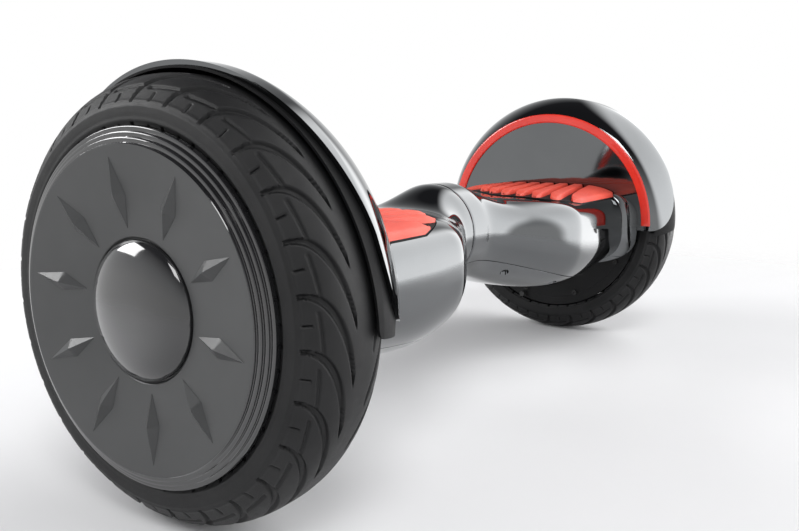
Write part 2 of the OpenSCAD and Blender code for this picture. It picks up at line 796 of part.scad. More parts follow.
module sensor_board() {
    len_x = 44;
    len_y = 2 * plunger_y + 20;
    color(board_green) union() {
        difference() {
            block([plunger_x - len_x / 2, -len_y / 2, sensor_z],
                [plunger_x + len_x / 2, len_y / 2, sensor_z + board_t]);
            for (dx = [-1, 1])
                for (dy = [-1, 1])
                    post(plunger_x + dx * (len_x / 2 - 4), dy * (len_y / 2 - 4), sensor_z - 1, 1.7, 4);
        }
        for (y = [-plunger_y, plunger_y])
            block([plunger_x - 7, y - 6, sensor_z + board_t], [plunger_x + 7, y + 6, switch_top_z]);
        block([plunger_x - 6, -6, sensor_z + board_t], [plunger_x + 6, 6, sensor_z + board_t + 1.6]);
        block([plunger_x - 20, -14, sensor_z + board_t], [plunger_x - 12, 4, sensor_z + board_t + 3.5]);
    }
}
module foot_pad() {
    color(pad_red) union() {
        crown_layer(-pad_sink, pad_skin, 0);
        difference() {
            crown_layer(pad_skin - 0.2, pad_skin + bar_h, 0);
            for (i = [0 : groove_count - 1])
                groove(groove_mid_y + (i - (groove_count - 1) / 2) * groove_pitch);
        }
        for (y = [-plunger_y, plunger_y])
            post(plunger_x, y, plunger_low_z, plunger_r, crown(y) - plunger_low_z);
    }
}
// A groove that crosses the pad's top layer, y_at is where it meets the fender
module groove(y_at) {
    translate([pad_outer_x, y_at, deck_z / 2])
        rotate([0, 0, groove_slant])
            translate([-fender_x, -groove_w / 2, 0])
                cube([2 * fender_x, groove_w, deck_z]);
}
module motor_cable() {
    // Out of the hollow axle, then down through the chassis plate's end
    r = 3;
    reach = 22;
    color(black) union() {
        rod(axle_in_x - reach, 0, axle_z, r, reach + 30);
        translate([axle_in_x - reach, 0, axle_z]) sphere(r = r);
        translate([axle_in_x - reach, 0, axle_z]) rotate([0, -55, 0]) cylinder(r = r, h = 14);
    }
}

module pivot_tube() {
    stop_r = boss_r - 5;
    color(steel) difference() {
        union() {
            rod(-boss_end - 6, 0, twist_z, tube_r, 2 * boss_end + 12);
            rod(-boss_start, 0, twist_z, stop_r, 2 * boss_start - bush_wall - 0.3);
        }
        rod(-boss_end - 10, 0, twist_z, tube_r - tube_wall, 2 * boss_end + 20);
        difference() {
            rod(boss_end + bush_wall + 0.2, 0, twist_z, tube_r + 1, 1.7);
            rod(boss_end + bush_wall, 0, twist_z, tube_r - 1.1, 2);
        }
    }
}
module pivot_bushes() {
    flange_r = boss_r - 5;
    bush_len = 18;
    color("#c9a227") {
        difference() {
            union() {
                rod(boss_start, 0, twist_z, tube_r + bush_wall, bush_len);
                rod(boss_start - bush_wall, 0, twist_z, flange_r, bush_wall);
            }
            rod(0, 0, twist_z, tube_r + run_fit, boss_end);
        }
        difference() {
            union() {
                rod(boss_end - bush_len, 0, twist_z, tube_r + bush_wall, bush_len);
                rod(boss_end, 0, twist_z, flange_r, bush_wall);
            }
            rod(boss_end - bush_len - 1, 0, twist_z, tube_r + run_fit, bush_len + 10);
        }
    }
}
module pivot_ring() {
    color(steel) difference() {
        rod(boss_end + bush_wall + 0.3, 0, twist_z, tube_r + 3, 1.5);
        rod(boss_end + bush_wall, 0, twist_z, tube_r - 1, 3);
        block([boss_end, -3, twist_z - tube_r - 5], [boss_end + 8, 3, twist_z]);
    }
}
module centre_harness() {
    color(black) union() {
        rod(-boss_end - 14, 0, twist_z, 5, 2 * boss_end + 28);
        block([-boss_end - 26, -8, twist_z - 5], [-boss_end - 12, 8, twist_z + 5]);
    }
}
module battery_pack() {
    bevel = 6;
    color("#2c4f8f") translate([battery_x, 0, battery_z]) rotate([90, 0, 0])
        linear_extrude(battery_w, center = true) polygon([
            [0, bevel], [bevel, 0], [battery_len - bevel, 0], [battery_len, bevel],
            [battery_len, battery_h], [0, battery_h]
        ]);
}
module battery_bracket() {
    t = 1.5;
    gap = 0.2;
    w = battery_w / 2 + gap;
    x = battery_x + battery_len / 2 - 15;
    color(steel) difference() {
        block([x, -w - t, battery_z - gap - t], [x + 30, w + t, plate_z]);
        block([x - 1, -w, battery_z - gap], [x + 31, w, plate_z + 1]);
    }
}
module main_board() {
    x = 84;
    len_x = 120;
    half_y = 38;
    z = plate_z - 14;
    color(board_green) union() {
        block([x, -half_y, z], [x + len_x, half_y, z + board_t]);
        for (i = [0 : 5])
            block([x + 12 + i * 17, -half_y + 6, z - 9], [x + 22 + i * 17, -half_y + 10, z]);
        block([x + 8, -half_y + 10, z - 14], [x + 112, -half_y + 14, z]);
        for (i = [0 : 1])
            post(x + 30 + 20 * i, 12, z - 15, 8, 15.2);
        for (i = [0 : 3])
            block([x + 66 + i * 13, 20, z - 8], [x + 75 + i * 13, 32, z]);
        for (dx = [8, len_x - 8])
            for (y = [-half_y + 5, half_y - 5])
                post(x + dx, y, z + board_t, 3, plate_z - z - board_t);
    }
}
module charge_port() {
    color(black) difference() {
        union() {
            translate([port_x, port_wall_y - 18, port_z]) rotate([-90, 0, 0]) cylinder(r = port_r, h = 17.6);
            translate([port_x, port_wall_y - shell_wall - 3.4, port_z]) rotate([-90, 0, 0])
                cylinder(r = port_r + 3, h = 2.8);
        }
        translate([port_x, port_wall_y - 12, port_z]) rotate([-90, 0, 0]) cylinder(r = port_r - 1.8, h = 20);
    }
}
module charge_port_cap() {
    t = 2.2;
    color(black) union() {
        translate([port_x, port_wall_y + 0.3, port_z]) rotate([-90, 0, 0]) cylinder(r = port_r + 2.5, h = t);
        block([port_x - 4, port_wall_y + 0.3, port_z], [port_x + 4, port_wall_y + 0.3 + t, cap_hinge_z]);
        translate([port_x, port_wall_y + 0.3 + t / 2, cap_hinge_z]) rotate([0, 90, 0])
            cylinder(r = t / 2, h = 8, center = true);
    }
}
module power_button() {
    color(black) union() {
        translate([button_x, port_wall_y - 7, port_z]) rotate([-90, 0, 0]) cylinder(r = button_r, h = 8.2);
        translate([button_x, port_wall_y - 9.2, port_z]) rotate([-90, 0, 0]) cylinder(r = button_r + 2, h = 3);
    }
}

side(-1) tyre();  // right_tyre
side(-1) hub_shell();  // right_hub_shell
side(-1) magnets();  // right_magnets
side(-1) motor_inner_cover();  // right_motor_inner_cover
side(-1) motor_outer_cover();  // right_motor_outer_cover
side(-1) wheel_cover();  // right_wheel_cover
side(-1) hub_cap();  // right_hub_cap
side(-1) motor_screws();  // right_motor_screws
side(-1) hub_bearings();  // right_hub_bearings
side(-1) valve_stem();  // right_valve_stem
side(-1) axle();  // right_axle
side(-1) stator();  // right_stator
side(-1) windings();  // right_windings
side(-1) upper_shell(-1);  // right_upper_shell
side(-1) bottom_cover(-1);  // right_bottom_cover
side(-1) fender();  // right_fender
side(-1) arc_trim();  // right_arc_trim
side(-1) fender_liner();  // right_fender_liner
side(-1) chassis(-1);  // right_chassis
side(-1) axle_clamp();  // right_axle_clamp
side(-1) clamp_screws();  // right_clamp_screws
side(-1) cover_screws();  // right_cover_screws
side(-1) sensor_board();  // right_sensor_board
side(-1) foot_pad();  // right_foot_pad
side(-1) motor_cable();  // right_motor_cable
side(1) tyre();  // left_tyre
side(1) hub_shell();  // left_hub_shell
side(1) magnets();  // left_magnets
side(1) motor_inner_cover();  // left_motor_inner_cover
side(1) motor_outer_cover();  // left_motor_outer_cover
side(1) wheel_cover();  // left_wheel_cover
side(1) hub_cap();  // left_hub_cap
side(1) motor_screws();  // left_motor_screws
side(1) hub_bearings();  // left_hub_bearings
side(1) valve_stem();  // left_valve_stem
side(1) axle();  // left_axle
side(1) stator();  // left_stator
side(1) windings();  // left_windings
side(1) upper_shell(1);  // left_upper_shell
side(1) bottom_cover(1);  // left_bottom_cover
side(1) fender();  // left_fender
side(1) arc_trim();  // left_arc_trim
side(1) fender_liner();  // left_fender_liner
side(1) chassis(1);  // left_chassis
side(1) axle_clamp();  // left_axle_clamp
side(1) clamp_screws();  // left_clamp_screws
side(1) cover_screws();  // left_cover_screws
side(1) sensor_board();  // left_sensor_board
side(1) foot_pad();  // left_foot_pad
side(1) motor_cable();  // left_motor_cable
pivot_tube();
pivot_bushes();
pivot_ring();
centre_harness();
side(-1) battery_pack();
side(-1) battery_bracket();
main_board();
charge_port();
charge_port_cap();
power_button();
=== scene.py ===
"""Self balancing hoverboard: the visual model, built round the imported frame.

Shapes are written in millimetres and turned into metres when a mesh is made.
X runs along the wheel axle, the front is -Y, and Z is up from the ground.
Each side is built on +X and mirrored for the right half.
"""
import json
import math

import bmesh
import bpy
import numpy as np
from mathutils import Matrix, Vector


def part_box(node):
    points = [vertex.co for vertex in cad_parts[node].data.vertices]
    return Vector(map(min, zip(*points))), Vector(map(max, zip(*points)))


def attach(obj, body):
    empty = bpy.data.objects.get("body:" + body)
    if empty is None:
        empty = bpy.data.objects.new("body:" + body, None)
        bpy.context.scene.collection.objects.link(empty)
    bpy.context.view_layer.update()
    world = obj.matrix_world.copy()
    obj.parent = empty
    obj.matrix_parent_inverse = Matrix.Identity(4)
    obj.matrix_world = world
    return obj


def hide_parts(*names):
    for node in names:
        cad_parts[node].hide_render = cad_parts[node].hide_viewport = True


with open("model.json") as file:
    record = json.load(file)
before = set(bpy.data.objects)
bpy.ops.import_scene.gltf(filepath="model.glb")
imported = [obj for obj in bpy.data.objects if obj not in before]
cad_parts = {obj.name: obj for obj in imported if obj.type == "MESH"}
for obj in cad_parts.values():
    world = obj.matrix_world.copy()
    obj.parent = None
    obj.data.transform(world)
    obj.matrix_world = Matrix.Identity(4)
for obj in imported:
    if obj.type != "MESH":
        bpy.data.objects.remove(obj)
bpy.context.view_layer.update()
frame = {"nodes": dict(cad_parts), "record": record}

MM = 0.001
SIDES = {"left": 1, "right": -1}


def node_box(node):
    """Lowest and highest corner of a CAD node in millimetres."""
    low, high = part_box(node)
    return np.array(low) / MM, np.array(high) / MM


# Sizes that come from the frame, in millimetres
TYRE_LOW, TYRE_HIGH = node_box("left_tyre")
TYRE_R = (TYRE_HIGH[2] - TYRE_LOW[2]) / 2
AXLE_Z = (TYRE_HIGH[2] + TYRE_LOW[2]) / 2
WHEEL_X = (TYRE_HIGH[0] + TYRE_LOW[0]) / 2
TYRE_HALF = (TYRE_HIGH[0] - TYRE_LOW[0]) / 2
FENDER_X = node_box("left_fender")[0][0]
FENDER_R = node_box("left_fender")[1][2] - AXLE_Z
SEAM_X = {"left": -abs(node_box("left_upper_shell")[0][0]),
          "right": abs(node_box("right_upper_shell")[1][0])}
CAP_TIP_X = node_box("left_hub_cap")[1][0]

# Wheel
RIM_R = 98.5
DISC_R = 89.7
CAP_R = 39.0
DISH = 7.5
COVER_FACE_X = TYRE_HIGH[0] + 7.0
TREAD_DROP = 9.0
TREAD_HALF = 24.7
GROOVES = 27
DARTS = 10
DART_PHASE = 8.0

# Pod
TWIST_Z = 139.0
COLLAR_R = 40.7
DECK_Z = 163.0
BELT_Z = 121.0
BELLY_Z = 70.0
BELLY_RISE = 11.0
POD_HALF_W = 87.0
POD_FLARE = 15.0
FLARE_LEN = 3.0
FLANGE_T = 0.6
DECK_POWER = 4.0
BELLY_POWER = 2.75
SHELL_WALL = 3.0
COVER_ANGLE = 37.5

# Fender
FENDER_WALL = 3.0
FENDER_ROUND = 35.0
FENDER_FALL = 19.0
CORNER_POWER = 1.5
FENDER_LOW_Z = 122.0
FENDER_END_RISE = 51.0
EDGE_TOP_X = 281.0
EDGE_LOW_X = 266.5
LINER_LIP = 1.2
LINER_LOW_X = 272.0
LINER_LOW_Z = 114.0
LINER_T = 1.4
ARC_IN = 106.3
ARC_W = 9.1
ARC_H = 1.6

# Foot pad
PAD_FRONT = 76.0
PAD_BACK = 80.0
PAD_INNER_X = 95.0
PAD_OUTER_X = FENDER_X - 2
PAD_SINK = 1.2
PAD_SKIN = 1.0
PAD_FLOOR = 3.0
BAR_H = 4.6
BAR_COUNT = 8
GROOVE_PITCH = 16.4
GROOVE_W = 5.6
GROOVE_SLANT = math.tan(math.radians(11))
GROOVE_MID_Y = 4.0

# Cutting shapes reach this far past what they cut
FAR_X = 320.0
REACH_UP = 20
POCKET_TOP = DECK_Z + 22

# Holes
AXLE_HOLE_R = 11.5
WELL_R = 4.0
WELL_PLACES = ((58, 36), (112, 60), (176, 50))
PORT_R, PORT_GAP = 8.0, 0.4
BUTTON_R, BUTTON_GAP = 7.0, 0.6


# ---------------------------------------------------------------- meshes

def make_object(name, points, faces, side=1, sharp=32, merge=0.0):
    """A mesh object from points in millimetres, smooth but for edges sharper than an angle."""
    points = np.array(points, float).reshape(-1, 3) * MM
    points[:, 0] *= side
    mesh = bpy.data.meshes.new(name)
    mesh.from_pydata(points.tolist(), [], [list(f) for f in faces])
    work = bmesh.new()
    work.from_mesh(mesh)
    if merge:
        bmesh.ops.remove_doubles(work, verts=work.verts, dist=merge * MM)
    bmesh.ops.recalc_face_normals(work, faces=work.faces)
    work.to_mesh(mesh)
    work.free()
    obj = bpy.data.objects.new(name, mesh)
    bpy.context.scene.collection.objects.link(obj)
    shade(obj, sharp)
    return obj


def shade(obj, sharp):
    obj.data.shade_smooth()
    obj.data.set_sharp_from_angle(angle=math.radians(sharp))


def lattice(points, wrap_rows=False, wrap_columns=False, start=0):
    """Quads over a grid of points with rows and columns; either way may close on itself."""
    rows, columns = points.shape[:2]
    i = np.arange(rows if wrap_rows else rows - 1)
    j = np.arange(columns if wrap_columns else columns - 1)
    i, j = np.meshgrid(i, j, indexing="ij")
    nxt_i, nxt_j = (i + 1) % rows, (j + 1) % columns
    quads = np.stack([i * columns + j, i * columns + nxt_j,
                      nxt_i * columns + nxt_j, nxt_i * columns + j], -1)
    return (quads.reshape(-1, 4) + start).tolist()


def tube_faces(points):
    """Faces of a tube of closed rings, one ring a row, with both ends capped."""
    rows, columns = points.shape[:2]
    ends = [list(range(columns - 1, -1, -1)), list(range((rows - 1) * columns, rows * columns))]
    return lattice(points, wrap_columns=True) + ends


def revolve(profile, count):
    """Points of (x, radius) turned about the wheel axle, one row for each angle."""
    profile = np.array(profile, float)
    angle = np.linspace(0, 2 * math.pi, count, endpoint=False)[:, None]
    x = np.broadcast_to(profile[:, 0], (count, len(profile)))
    return np.stack([x, profile[:, 1] * np.sin(angle), AXLE_Z + profile[:, 1] * np.cos(angle)], -1)


def apply_boolean(target, cutter, operation):
    """Joins or cuts two closed meshes and keeps the result as the target's mesh."""
    modifier = target.modifiers.new("shape", "BOOLEAN")
    modifier.object = cutter
    modifier.operation = operation
    modifier.solver = "MANIFOLD"
    graph = bpy.context.evaluated_depsgraph_get()
    mesh = bpy.data.meshes.new_from_object(target.evaluated_get(graph))
    target.modifiers.clear()
    old = target.data
    target.data = mesh
    bpy.data.meshes.remove(old)
    bpy.data.objects.remove(cutter)
    return target


def soften(points, reach, step):
    """Rounds the corners of an open polyline: it is sampled every step and averaged over reach."""
    points = np.array(points, float)
    length = np.concatenate([[0], np.cumsum(np.hypot(*np.diff(points, axis=0).T))])
    at = np.linspace(0, length[-1], max(3, int(length[-1] / step)))
    fine = np.stack([np.interp(at, length, points[:, k]) for k in range(2)], -1)
    half = max(1, int(reach / step))
    padded = np.concatenate([
        2 * fine[0] - fine[half:0:-1], fine, 2 * fine[-1] - fine[-2:-half - 2:-1]])
    window = np.ones(2 * half + 1) / (2 * half + 1)
    return np.stack([np.convolve(padded[:, k], window, "valid") for k in range(2)], -1)


def smooth_step(a, b, x):
    t = np.clip((x - a) / (b - a), 0, 1)
    return t * t * (3 - 2 * t)


def mix(a, b, k):
    return a + (b - a) * k


# ---------------------------------------------------------------- pod surface

def half_width(x):
    return mix(COLLAR_R, POD_HALF_W, smooth_step(20, 115, x))


def flare(x):
    """Hollow fillet that spreads the pod into a thin flange on the fender."""
    t = np.clip((x - FENDER_X + FLANGE_T) / FLARE_LEN + 1, 0, 1)
    return POD_FLARE * (1 - math.sqrt(1 - t * t))


def top_z(x):
    return mix(TWIST_Z + COLLAR_R, DECK_Z, smooth_step(12, 64, x))


def mid_z(x):
    return mix(TWIST_Z, BELT_Z, smooth_step(6, 160, x))


def bottom_z(x):
    rise = BELLY_RISE * smooth_step(142, FENDER_X, x)
    return mix(TWIST_Z - COLLAR_R, BELLY_Z, smooth_step(6, 142, x)) + rise


def pod_ring(x, a0, a1, count, inset):
    """Points of the pod's cross-section at x from angle a0 to a1, evenly spaced on the outline."""
    angle = np.radians(np.linspace(a0, a1, 12 * count))
    up = np.sin(angle) >= 0
    power = np.where(up, mix(2, DECK_POWER, smooth_step(20, 115, x)),
                     mix(2, BELLY_POWER, smooth_step(6, 142, x)))
    height = np.where(up, top_z(x) - mid_z(x), mid_z(x) - bottom_z(x)) - inset
    c, s = np.cos(angle), np.sin(angle)
    width = half_width(x) - inset + (flare(x) if inset < 1 else 0)
    y = width * np.sign(c) * np.abs(c) ** (2 / power)
    z = mid_z(x) + height * np.sign(s) * np.abs(s) ** (2 / power)
    length = np.concatenate([[0], np.cumsum(np.hypot(np.diff(y), np.diff(z)))])
    at = np.linspace(0, length[-1], count)
    return np.stack([np.full(count, float(x)), np.interp(at, length, y),
                     np.interp(at, length, z)], -1)


def crown_z(y):
    """Height of the deck over the pad, where the pod has its full width."""
    share = np.clip(1 - np.abs(y / POD_HALF_W) ** DECK_POWER, 0, 1)
    return BELT_Z + (DECK_Z - BELT_Z) * share ** (1 / DECK_POWER)


def pad_edge_x(y):
    """Inner edge of the foot pad, which runs obliquely and bows in at the front."""
    knee, slope, front_knee, bow, bow_len = -8.0, 1.05, 45.0, 46.0, 31.0
    edge = PAD_INNER_X - slope * knee * np.log1p(np.exp((knee - y) / knee))
    return edge + bow * (np.clip(-y - front_knee, 0, None) / bow_len) ** 2.5


def crown_slab(name, low, high, grow, side, outer_x, flat_top=None):
    """A closed slab over the pad's outline that follows the crown from low to high above it."""
    y = np.linspace(-PAD_FRONT, PAD_BACK, 90)
    grown_y = y + grow * (2 * (y + PAD_FRONT) / (PAD_FRONT + PAD_BACK) - 1)
    across = np.linspace(0, 1, 12)
    x = mix((pad_edge_x(y) - grow)[:, None], outer_x, across)
    rows = []
    for k in range(len(y)):
        z_low = crown_z(grown_y[k]) + low
        z_high = flat_top if flat_top else crown_z(grown_y[k]) + high
        bottom = [[x[k, j], grown_y[k], z_low] for j in range(len(across) - 1, -1, -1)]
        top = [[x[k, j], grown_y[k], z_high] for j in range(len(across))]
        rows.append(bottom + top)
    points = np.array(rows)
    return make_object(name, points, tube_faces(points), side)


def pod_wall(name, side_name, a0, a1, count):
    """One shell of the pod between two angles, with rounded lips at its seams."""
    side = SIDES[side_name]
    start = SEAM_X[side_name]
    lip = 0.9
    along = [(start, lip), (start + 0.25, 0.35), (start + 0.9, 0.0)]
    along += [(x, 0.0) for x in np.linspace(start + 2.5, FENDER_X - FLARE_LEN - FLANGE_T, 76)]
    turn = np.radians(np.linspace(0, 90, 20)[1:])
    along += [(FENDER_X - FLANGE_T - FLARE_LEN * (1 - math.sin(a)), 0.0) for a in turn]
    along += [(FENDER_X - 0.3, 0.05), (FENDER_X - 0.08, 0.25)]
    edge_deg = 0.25
    rings = []
    for x, inset in along:
        outer = pod_ring(x, a0 + edge_deg, a1 - edge_deg, count, inset)
        first = pod_ring(x, a0, a0 + 0.01, 2, inset + 0.4)[:1]
        last = pod_ring(x, a1 - 0.01, a1, 2, inset + 0.4)[-1:]
        inner = pod_ring(x, a0, a1, count, SHELL_WALL)[::-1]
        rings.append(np.concatenate([first, outer, last, inner]))
    points = np.array(rings)
    return make_object(name, points, tube_faces(points), side)


def cylinder(name, centre, axis, radius, length, side=1, count=64):
    """A plain closed cylinder, used only to cut holes."""
    centre, axis = np.array(centre, float), np.array(axis, float)
    u = np.cross(axis, [0.3, 0.5, 0.8])
    u /= np.linalg.norm(u)
    v = np.cross(axis, u)
    angle = np.linspace(0, 2 * math.pi, count, endpoint=False)[:, None]
    ring = radius * (np.cos(angle) * u + np.sin(angle) * v)
    points = np.array([centre - axis * length / 2 + ring, centre + axis * length / 2 + ring])
    return make_object(name, points, tube_faces(points), side)


# ---------------------------------------------------------------- materials

COAT_ROUGH = 0.03
GRAIN_HEIGHT = 0.0004


def material(name, dark, light, rough, grain=400.0, bump=0.0, patches=9.0, metallic=0.0,
             coat=0.0, spread=0.06, specular=0.5):
    """A surface with patchy colour, uneven gloss and a fine grain, all from noise in object space."""
    made = bpy.data.materials.new(name)
    made.use_nodes = True
    nodes, links = made.node_tree.nodes, made.node_tree.links
    shader = nodes["Principled BSDF"]
    place = nodes.new("ShaderNodeTexCoord")

    def noise(scale, detail, roughness=0.5):
        texture = nodes.new("ShaderNodeTexNoise")
        texture.inputs["Scale"].default_value = scale
        texture.inputs["Detail"].default_value = detail
        texture.inputs["Roughness"].default_value = roughness
        links.new(place.outputs["Object"], texture.inputs["Vector"])
        return texture.outputs["Fac"]

    colour = nodes.new("ShaderNodeValToRGB")
    colour.color_ramp.elements[0].position = 0.32
    colour.color_ramp.elements[0].color = (*dark, 1)
    colour.color_ramp.elements[1].position = 0.68
    colour.color_ramp.elements[1].color = (*light, 1)
    links.new(noise(patches, 6.0, 0.62), colour.inputs["Fac"])
    links.new(colour.outputs["Color"], shader.inputs["Base Color"])
    gloss = nodes.new("ShaderNodeMapRange")
    gloss.inputs["To Min"].default_value = max(rough - spread, 0.0)
    gloss.inputs["To Max"].default_value = rough + spread
    links.new(noise(patches * 7, 5.0, 0.6), gloss.inputs["Value"])
    links.new(gloss.outputs["Result"], shader.inputs["Roughness"])
    if bump:
        relief = nodes.new("ShaderNodeBump")
        relief.inputs["Strength"].default_value = bump
        relief.inputs["Distance"].default_value = GRAIN_HEIGHT
        links.new(noise(grain, 3.0, 0.55), relief.inputs["Height"])
        links.new(relief.outputs["Normal"], shader.inputs["Normal"])
    shader.inputs["Metallic"].default_value = metallic
    shader.inputs["Specular IOR Level"].default_value = specular
    shader.inputs["IOR"].default_value = 1.5
    shader.inputs["Coat Weight"].default_value = coat
    shader.inputs["Coat Roughness"].default_value = COAT_ROUGH
    return made


MATERIALS = {
    "tyre_rubber": material("tyre_rubber", (0.0045, 0.0045, 0.005), (0.010, 0.010, 0.0105), 0.50,
                            2600, 0.35, 30, spread=0.10, specular=0.30),
    "motor_alloy": material("motor_alloy", (0.004, 0.004, 0.0045), (0.008, 0.008, 0.0085), 0.45,
                            1600, 0.3, 25, specular=0.25),
    "magnet": material("magnet", (0.40, 0.40, 0.41), (0.5, 0.5, 0.5), 0.3, 900, 0.15, 40,
                       metallic=1.0),
    "wheel_cover_plastic": material("wheel_cover_plastic", (0.034, 0.035, 0.036),
                                    (0.044, 0.045, 0.046), 0.38, 3000, 0.16, 14, spread=0.04),
    "ring_gloss": material("ring_gloss", (0.010, 0.010, 0.011), (0.014, 0.014, 0.015), 0.12, 900,
                           0.03, 20, coat=1.0, spread=0.03),
    "gloss_cap": material("gloss_cap", (0.010, 0.010, 0.011), (0.016, 0.016, 0.017), 0.10, 700,
                          0.02, 22, coat=1.0, spread=0.03),
    "screw_steel": material("screw_steel", (0.018, 0.018, 0.018), (0.035, 0.035, 0.034), 0.34,
                            1200, 0.2, 60, metallic=0.5),
    "bearing_steel": material("bearing_steel", (0.5, 0.5, 0.5), (0.62, 0.62, 0.62), 0.22, 1500,
                              0.1, 50, metallic=1.0),
    "valve_rubber": material("valve_rubber", (0.014, 0.014, 0.014), (0.026, 0.026, 0.026), 0.6,
                             2000, 0.3, 40),
    "axle_steel": material("axle_steel", (0.46, 0.47, 0.48), (0.58, 0.58, 0.59), 0.3, 1800, 0.2,
                           30, metallic=1.0),
    "stator_steel": material("stator_steel", (0.24, 0.25, 0.26), (0.36, 0.37, 0.38), 0.45, 2500,
                             0.4, 30, metallic=0.9),
    "copper_wire": material("copper_wire", (0.58, 0.24, 0.09), (0.78, 0.38, 0.17), 0.3, 1400, 0.5,
                            60, metallic=1.0),
    "shell_gloss": material("shell_gloss", (0.145, 0.150, 0.154), (0.162, 0.167, 0.171), 0.045,
                            800, 0.010, 7, metallic=1.0, spread=0.02),
    "red_trim": material("red_trim", (0.62, 0.022, 0.012), (0.74, 0.034, 0.018), 0.22, 1500, 0.05,
                         25, coat=0.6, spread=0.04),
    "liner_black": material("liner_black", (0.003, 0.003, 0.0035), (0.007, 0.007, 0.0075), 0.55,
                            2200, 0.3, 25, specular=0.12),
    "chassis_alloy": material("chassis_alloy", (0.48, 0.49, 0.51), (0.62, 0.63, 0.65), 0.5, 900,
                              0.6, 16, metallic=0.9),
    "black_screw": material("black_screw", (0.012, 0.012, 0.012), (0.03, 0.03, 0.03), 0.38, 1500,
                            0.25, 80, metallic=0.6),
    "circuit_board": material("circuit_board", (0.012, 0.10, 0.035), (0.03, 0.17, 0.07), 0.35, 900,
                              0.2, 60),
    "red_rubber": material("red_rubber", (0.66, 0.060, 0.034), (0.78, 0.090, 0.052), 0.50, 2400,
                           0.30, 16, spread=0.08),
    "cable_black": material("cable_black", (0.014, 0.014, 0.014), (0.024, 0.024, 0.024), 0.5, 1200,
                            0.2, 40),
    "bronze_bush": material("bronze_bush", (0.50, 0.33, 0.12), (0.66, 0.47, 0.22), 0.38, 2000, 0.4,
                            45, metallic=1.0),
    "battery_wrap": material("battery_wrap", (0.03, 0.08, 0.26), (0.05, 0.12, 0.36), 0.28, 500,
                             0.25, 18, coat=0.4),
    "bracket_steel": material("bracket_steel", (0.42, 0.43, 0.44), (0.54, 0.55, 0.56), 0.4, 1300,
                              0.2, 30, metallic=1.0),
    "port_black": material("port_black", (0.012, 0.012, 0.012), (0.024, 0.024, 0.024), 0.42, 1800,
                           0.25, 50),
}


def place(obj, body, slot, nodes=()):
    """Gives a piece its material and its CAD body, and hides the CAD nodes that it stands for."""
    obj.data.materials.clear()
    obj.data.materials.append(MATERIALS[slot])
    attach(obj, body)
    if nodes:
        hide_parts(*nodes)
    return obj


# ---------------------------------------------------------------- wheel

def groove_depth(u, angle):
    """Depth of the tread at a distance u outwards from the wheel's middle, at an angle in pitches."""
    pitch_mm = 2 * math.pi * TYRE_R / GROOVES
    edge_u, tip_u, sweep = 29.7, 7.0, 1.575
    depth = np.zeros(np.broadcast(u, angle).shape)
    along = np.clip((edge_u - u) / (edge_u - tip_u), 0, 1)
    inside = (u <= edge_u + 0.4) & (u >= tip_u - 0.2)
    slope = pitch_mm * 2 * sweep * along / (edge_u - tip_u)
    width = 0.55 + 1.0 * np.sin(math.pi * np.clip(along * 0.92 + 0.06, 0, 1)) ** 0.6
    for turn in (-1, 0, 1, 2):
        off = (angle % 1 + turn - sweep * along ** 2) * pitch_mm
        distance = np.abs(off) / np.sqrt(1 + slope ** 2)
        cut = 2.2 * smooth_step(0.35, -0.35, distance - width)
        depth = np.maximum(depth, np.where(inside, cut, 0))
    part = angle % 1
    # Short oblique lines that join one groove to the next
    line_part = (part - 0.28) % 1
    line_u = mix(24.4, 23.0, line_part / 0.82)
    on_line = (line_part < 0.83) & (np.abs(u - line_u) < 0.9)
    cut = 1.1 * smooth_step(0.85, 0.25, np.abs(u - line_u))
    depth = np.maximum(depth, np.where(on_line, cut, 0))
    # Sipes on the shoulder, half a pitch from each groove
    sipe = np.abs(part - 0.53) * pitch_mm
    on_sipe = (u > 26.3) & (u < edge_u)
    depth = np.maximum(depth, np.where(on_sipe, 1.3 * smooth_step(0.95, 0.35, sipe), 0))
    return depth


